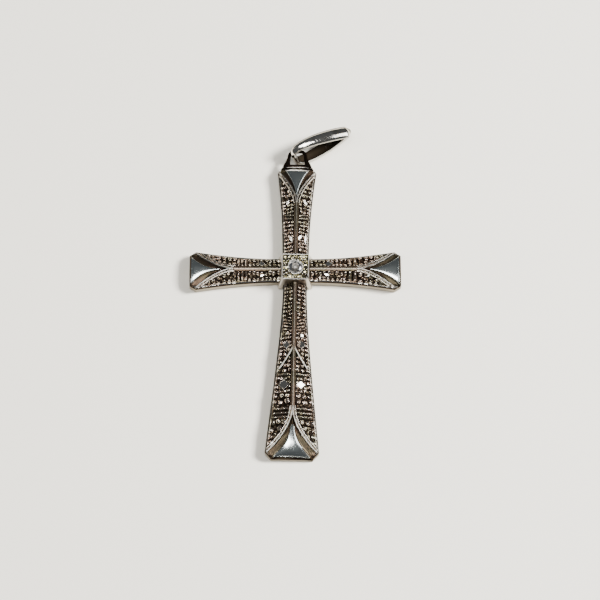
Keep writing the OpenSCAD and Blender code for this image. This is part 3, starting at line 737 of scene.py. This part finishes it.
def bail_skin(rounds=220, strips=18):
    """Domed outside, hollow inside: rings of the cross section round the drop."""
    dense = np.linspace(0, 2 * math.pi, 4001)
    curve = bail_curve(dense)
    length = np.concatenate([[0], np.cumsum(np.linalg.norm(np.diff(curve, axis=0), axis=1))])
    a = np.interp(np.arange(rounds) / rounds * length[-1], length, dense)
    point = np.stack([np.interp(a, dense, curve[:, k]) for k in range(2)], -1)
    ahead = np.roll(point, -1, 0) - np.roll(point, 1, 0)
    out = np.stack([-ahead[:, 1], ahead[:, 0]], -1) / np.linalg.norm(ahead, axis=1)[:, None]
    share = (1 - np.cos(a)) / 2
    grown = np.sin(np.minimum(1, share * BAIL["full_from"]) * math.pi / 2)
    # the lower strap widens sooner on the side that lies under the upper one
    half, under = ((BAIL["neck"] + (BAIL["fold"] - BAIL["neck"]) * grown ** BAIL[power]) / 2
                   for power in ("widening", "hidden"))
    under = np.where(np.sin(a) < 0, under, half)
    k = np.linspace(-1, 1, strips + 1)
    dome = BAIL["dome"] * half[:, None] / BAIL["fold"] * 2 * (1 - k * k)[None]
    across = np.concatenate([k, [1.02], k[::-1], [-1.02]])
    lip = np.full((rounds, 1), -BAIL["wall"] / 2)
    depth = np.concatenate([dome, lip, dome[:, ::-1] - BAIL["wall"], lip], 1)
    # The inner face: the finish paints it dark, partly as film and partly as painted shade
    inner = np.concatenate([0 * k, [0.5], 0 * k + 1, [0.5]])
    along, opening, width = bail_axes()
    plane = point[:, None] + out[:, None] * depth[..., None]
    aside = np.where(across > 0, half[:, None], under[:, None]) * across
    points = HANG + plane[..., :1] * along + plane[..., 1:] * opening + aside[..., None] * width
    shape = points.shape[:2]
    marks = {"inside": np.broadcast_to(inner, shape), "rim": np.broadcast_to(across, shape)}
    return piece("bail", points, grid_faces(*shape, round_rows=True, round_columns=True),
                 marks=marks, body="bail")


bail = bail_skin()
cast = [*arms.values(), box, loop, loop_foot]
for made, node in [(made, "cross") for made in cast] + [(stone, "stone"), (bail, "bail")]:
    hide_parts(node)

# %% [markdown]
# A finish is a small graph of nodes. Written out one link at a time it would hide what it does, so a
# socket is wrapped here in a class whose plus, minus and times make the Math nodes themselves.
# After that a finish reads like a recipe: so much dark in the hollows, so much polish on the crests.

# %% Arithmetic on sockets
class Value:
    """A number that differs from point to point: adding, multiplying and so on make Math nodes."""

    def __init__(self, finish, socket):
        self.finish, self.socket = finish, socket

    def __add__(self, other):
        return self.finish.math("ADD", self, other)

    def __sub__(self, other):
        return self.finish.math("SUBTRACT", self, other)

    def __rsub__(self, other):
        return self.finish.math("SUBTRACT", other, self)

    def __mul__(self, other):
        return self.finish.math("MULTIPLY", self, other)

    __radd__, __rmul__ = __add__, __mul__


class Finish:
    """A material's graph. node() adds any node, and the other methods are the few that come up often."""

    def __init__(self, name):
        self.material = bpy.data.materials.new(name)
        self.material.use_nodes = True
        self.tree = self.material.node_tree
        self.shader = self.tree.nodes["Principled BSDF"]
        self.place = self.node("ShaderNodeVectorMath", dict(operation="SCALE"),
                               {"Vector": self.node("ShaderNodeTexCoord", out="Object"), "Scale": 1 / MM})

    def link(self, socket, value):
        """A wrapped socket is linked, and anything else is set as the socket's own value."""
        if isinstance(value, Value):
            self.tree.links.new(value.socket, socket)
        else:
            socket.default_value = value

    def node(self, kind, settings=None, inputs=None, out=0):
        """Adds a node: its settings first, then its inputs by name or number; returns one output."""
        made = self.tree.nodes.new(kind)
        for key, value in (settings or {}).items():
            setattr(made, key, value)
        for key, value in (inputs or {}).items():
            self.link(made.inputs[key], value)
        return Value(self, made.outputs[out])

    def math(self, operation, *terms):
        return self.node("ShaderNodeMath", dict(operation=operation), dict(enumerate(terms)))

    def mark(self, name):
        """A mark that the mesh carries at its points."""
        return self.node("ShaderNodeAttribute", dict(attribute_name=name), out="Fac")

    def between(self, value, low, high):
        """0 up to low, 1 from high on, and a smooth step between."""
        return self.node("ShaderNodeMapRange", dict(interpolation_type="SMOOTHSTEP"),
                         {"Value": value, "From Min": low, "From Max": high}, out="Result")

    def noise(self, size, detail):
        """Cloudy noise whose lumps are about size millimetres wide."""
        return self.node("ShaderNodeTexNoise", None,
                         {"Vector": self.place, "Scale": 1 / size, "Detail": detail}, out="Fac")

    def mix(self, share, a, b):
        """Colour a where share is 0 and b where it is 1."""
        a, b = ((*colour, 1) if isinstance(colour, tuple) else colour for colour in (a, b))
        return self.node("ShaderNodeMix", dict(data_type="RGBA"), {0: share, 6: a, 7: b}, out=2)

    def bump(self, height, depth):
        """A Bump node for a height between 0 and 1 that stands depth millimetres high."""
        return self.node("ShaderNodeBump", None, {"Height": height, "Distance": depth * MM, "Strength": 1.0},
                         out="Normal")

    def surface(self, *pieces, **inputs):
        """Sets the shader's inputs, spelled with underscores, and gives the material to the pieces."""
        for key, value in inputs.items():
            self.link(self.shader.inputs[key.replace("_", " ")], value)
        for made in pieces:
            made.data.materials.append(self.material)
        print(self.material.name, len(self.tree.nodes), "nodes on", [made.name for made in pieces])


print("a finish can", [name for name in vars(Finish) if not name.startswith("_")])

# %% [markdown]
# Old silver is polished by every touch and blackened by the air. So the crests, the ridge and the caps are
# bright, and the hollows between the grains keep a brown-black film. The rolled edges and the arms' ends
# are painted nearly black as shade, where the surface turns away. The field's flanks have a thin warm film,
# golden here and rosy there, that lets the metal shine through. The arm's side walls are dull and a little
# beige.

# %% Silver of the arms
SILVER, COOL = (0.84, 0.8, 0.73), (0.72, 0.77, 0.75)
GOLDEN, ROSY = (0.7, 0.64, 0.48), (0.76, 0.6, 0.5)
FILM, RED_FILM, BLACK = (0.26, 0.22, 0.13), (0.36, 0.24, 0.16), (0.02, 0.014, 0.01)
BEIGE = (0.3, 0.26, 0.21)

silver = Finish("tarnished silver")
height, field, wall = silver.mark("crest"), silver.mark("field"), silver.mark("wall")
gutter, cap = silver.mark("gutter"), silver.mark("cap")
cloud, grain = silver.noise(1.3, 3), silver.noise(0.14, 3)
edge, ridge, line = (silver.mark(name) for name in ("edge", "ridge", "line"))
rubbed = silver.between(height + 0.5 * (grain - 0.5) + 0.7 * (cloud - 0.5), 0.15, 0.75)
black = silver.between(-1 * height + 0.6 * (grain - 0.5) + 0.3 * (cloud - 0.5), -0.4, 0.35)
covered = silver.math("MINIMUM", field * (1 - rubbed) + gutter + edge + ridge * (1 - 0.35 * line) * 0.9, 1.0)
patch = silver.between(silver.noise(2.6, 2), 0.4, 0.6)
hue = silver.mix(patch, FILM, RED_FILM)
worn = silver.mix(field * 0.8, silver.mix(cap, SILVER, COOL), silver.mix(patch, GOLDEN, ROSY))
warm = silver.mix(covered, worn, hue)
rest = silver.math("MAXIMUM", gutter * 0.8, ridge * (1 - line) * 0.55)
# Soot: the dark film in the hollows, the gutters and beside the ridge, and painted shade on the rolled edges
# and ends
soot_and_shade = silver.math("MAXIMUM", black * field, silver.math("MAXIMUM", rest, edge * 0.97))
film_and_shade = silver.mix(soot_and_shade, warm, BLACK)
dull = silver.mix(wall * 0.85, film_and_shade, BEIGE)
silver.surface(*arms.values(), loop, loop_foot, Base_Color=dull, Metallic=1 - 0.1 * covered - 0.2 * wall,
               Roughness=0.1 + 0.05 * cap + 0.05 * field + 0.22 * line + 0.1 * black + 0.3 * wall,
               Specular_Tint=(0.45, 0.42, 0.38, 1),
               Normal=silver.bump(silver.noise(0.09, 2) * (0.05 + field) + silver.noise(0.6, 2), 0.004))

# %% [markdown]
# The box is the same metal, but it stands high and is rubbed more. Its plate keeps an olive film inside
# the frame, which is bare on three sides only: toward the head the film runs out to the edge. The walls
# are mid-brown over the arches and grey at the feet, and what lies under the arches is painted nearly black
# as shade.

# %% Silver of the box
# The last colour is the painted shade under the arches
OLIVE, BROWN, GREY, UNDER_ARCH_SHADE = (0.42, 0.37, 0.17), (0.2, 0.16, 0.13), (0.42, 0.37, 0.31), (0.03, 0.022, 0.015)
boxed = Finish("box silver")
height, inside, wall, plate, foot, frame_line, seat = (
    boxed.mark(name) for name in ("crest", "inside", "wall", "plate", "foot", "frame", "seat"))
bare = (1 - frame_line) * (1 - seat)
grain = boxed.noise(0.13, 3)
rubbed = boxed.between(height + 0.4 * (grain - 0.5), -0.1, 0.5)
dark = boxed.between(-1 * height + 0.5 * (grain - 0.5), 0.1, 0.7) * plate * bare
olive = boxed.mix(plate * bare * (1 - rubbed) * 0.9, SILVER, OLIVE)
# The plate's hollows keep a dark film; under the arches the dark colour is painted shade
film_and_arch_shade = boxed.mix(boxed.math("MAXIMUM", dark, inside * 0.95), olive, UNDER_ARCH_SHADE)
brown = boxed.mix(wall * (1 - foot) * 0.9, film_and_arch_shade, BROWN)
grey = boxed.mix(foot * 0.8, brown, GREY)
boxed.surface(box, Base_Color=grey, Metallic=1 - 0.3 * inside,
              Roughness=0.1 + 0.3 * frame_line + 0.4 * seat + 0.2 * dark + 0.2 * wall + 0.3 * inside,
              Normal=boxed.bump(boxed.noise(0.12, 2) * plate + boxed.noise(0.5, 2), 0.004))

# %% [markdown]
# The bail is rubbed bright outside by the neck chain. Inside it is dark, partly as film where nothing touches
# it and partly as painted shade. The half of its dome that turns away from the light is painted nearly black
# as shade. The metal is set to mirror little at a grazing angle, so that the pale board doesn't brighten it.

# %% Silver of the bail
# The second colour is near black: film and painted shade inside, and painted shade on the dome's far half
STREAK, DARK_FILM_AND_SHADE = (0.42, 0.36, 0.28), (0.03, 0.022, 0.014)
strap = Finish("bail silver")
inside, rim = strap.mark("inside"), strap.mark("rim")
cloud, grain = strap.noise(1.1, 3), strap.noise(0.2, 3)
# Dark inside: partly film where nothing touches it, partly painted shade
soot_and_shade = inside * strap.between(cloud + 0.3 * (grain - 0.5), 0.0, 0.4) * (1 - strap.between(rim, 0.86, 0.97))
edge = strap.between(rim, 0.82, 0.95) * strap.between(inside, 0.15, 0.45)
outer = strap.mix(strap.between(cloud, 0.5, 0.75) * 0.5 * (1 - edge), SILVER, STREAK)
# Painted shade on the half of the dome that turns away from the light
shaded_flank = strap.between(-1 * rim, 0.1, 0.35)
inner = strap.mix(strap.math("MAXIMUM", soot_and_shade, shaded_flank * 0.92), outer, DARK_FILM_AND_SHADE)
strap.surface(bail, Base_Color=inner, Metallic=1 - 0.6 * soot_and_shade,
              Roughness=strap.math("MINIMUM", 0.12 + 0.3 * soot_and_shade + 0.2 * edge + 0.5 * shaded_flank, 0.8),
              Specular_IOR_Level=0.05, Specular_Tint=(0.02, 0.02, 0.02, 1),
              Normal=strap.bump(strap.noise(0.3, 2), 0.01))

# %% [markdown]
# The stone is clear. Light goes in through the crown, bounces between the flat facets below, and comes
# back in some of them only, which makes the pattern of white and dark that a brilliant is cut for.

# %% The stone's finish
clear = Finish("brilliant")
clear.surface(stone, Base_Color=(0.97, 0.98, 1.0, 1), Roughness=0.0, IOR=2.3, Transmission_Weight=1.0)

# %% [markdown]
# A pendant is photographed on white board under soft boxes. Metal shows nothing but what it reflects, so
# the lights are of two kinds here. The cards are mirrored by the metal: a wide one overhead toward the
# viewer lights the flanks that face down the picture, one at the right gives the bright right edges, and a
# faint one stands at the left. The key and the fill light the board and throw the soft shadow, and the
# metal doesn't mirror them. The rest of the room stays dim, so that flanks that face away turn dark.

# %% Board, lights and room
FLOOR_HALF = 0.25
ROOM, ROOM_LIGHT = (0.9, 0.95, 1.0, 1), 0.09
board = bpy.data.meshes.new("board")
board.from_pydata([(x * FLOOR_HALF, y * FLOOR_HALF, 0) for x, y in ((-1, -1), (1, -1), (1, 1), (-1, 1))], [],
                  [(0, 1, 2, 3)])
floor = bpy.data.objects.new("board", board)
bpy.context.scene.collection.objects.link(floor)
paper = Finish("white board")
paper.surface(floor, Base_Color=(0.87, 0.83, 0.73, 1), Roughness=0.8)

world = bpy.data.worlds.new("room")
world.use_nodes = True
world.node_tree.nodes["Background"].inputs["Color"].default_value = ROOM
world.node_tree.nodes["Background"].inputs["Strength"].default_value = ROOM_LIGHT
bpy.context.scene.world = world

# Name, place and size in metres, brightness, and whether the metal mirrors it
LAMPS = [
    ("overhead card", (-0.03, -0.05, 0.45), (0.2, 0.15), 13.0, True),
    ("right card", (0.37, 0.07, 0.41), (0.16, 0.3), 6.0, True),
    ("left card", (-0.45, 0.1, 0.3), (0.1, 0.2), 0.4, True),
    ("key", (0.42, 0.05, 0.38), (0.15, 0.15), 160.0, False),
    ("fill", (-0.35, -0.05, 0.4), (0.14, 0.14), 12.0, False),
]
for name, place, size, brightness, mirrored in LAMPS:
    lamp = bpy.data.objects.new(name, bpy.data.lights.new(name, "AREA"))
    lamp.data.shape, (lamp.data.size, lamp.data.size_y) = "RECTANGLE", size
    lamp.data.energy = brightness * math.pi * size[0] * size[1]
    lamp.visible_glossy = mirrored
    bpy.context.scene.collection.objects.link(lamp)
    back = np.array(place) / np.linalg.norm(place)
    side = np.cross([0, 0, 1.0], back)
    side /= np.linalg.norm(side)
    turned = np.eye(4)
    turned[:3, :3] = np.stack([side, np.cross(back, side), back], 1)
    turned[:3, 3] = place
    lamp.matrix_world = Matrix(turned.tolist())
print(len(LAMPS), "lamps")
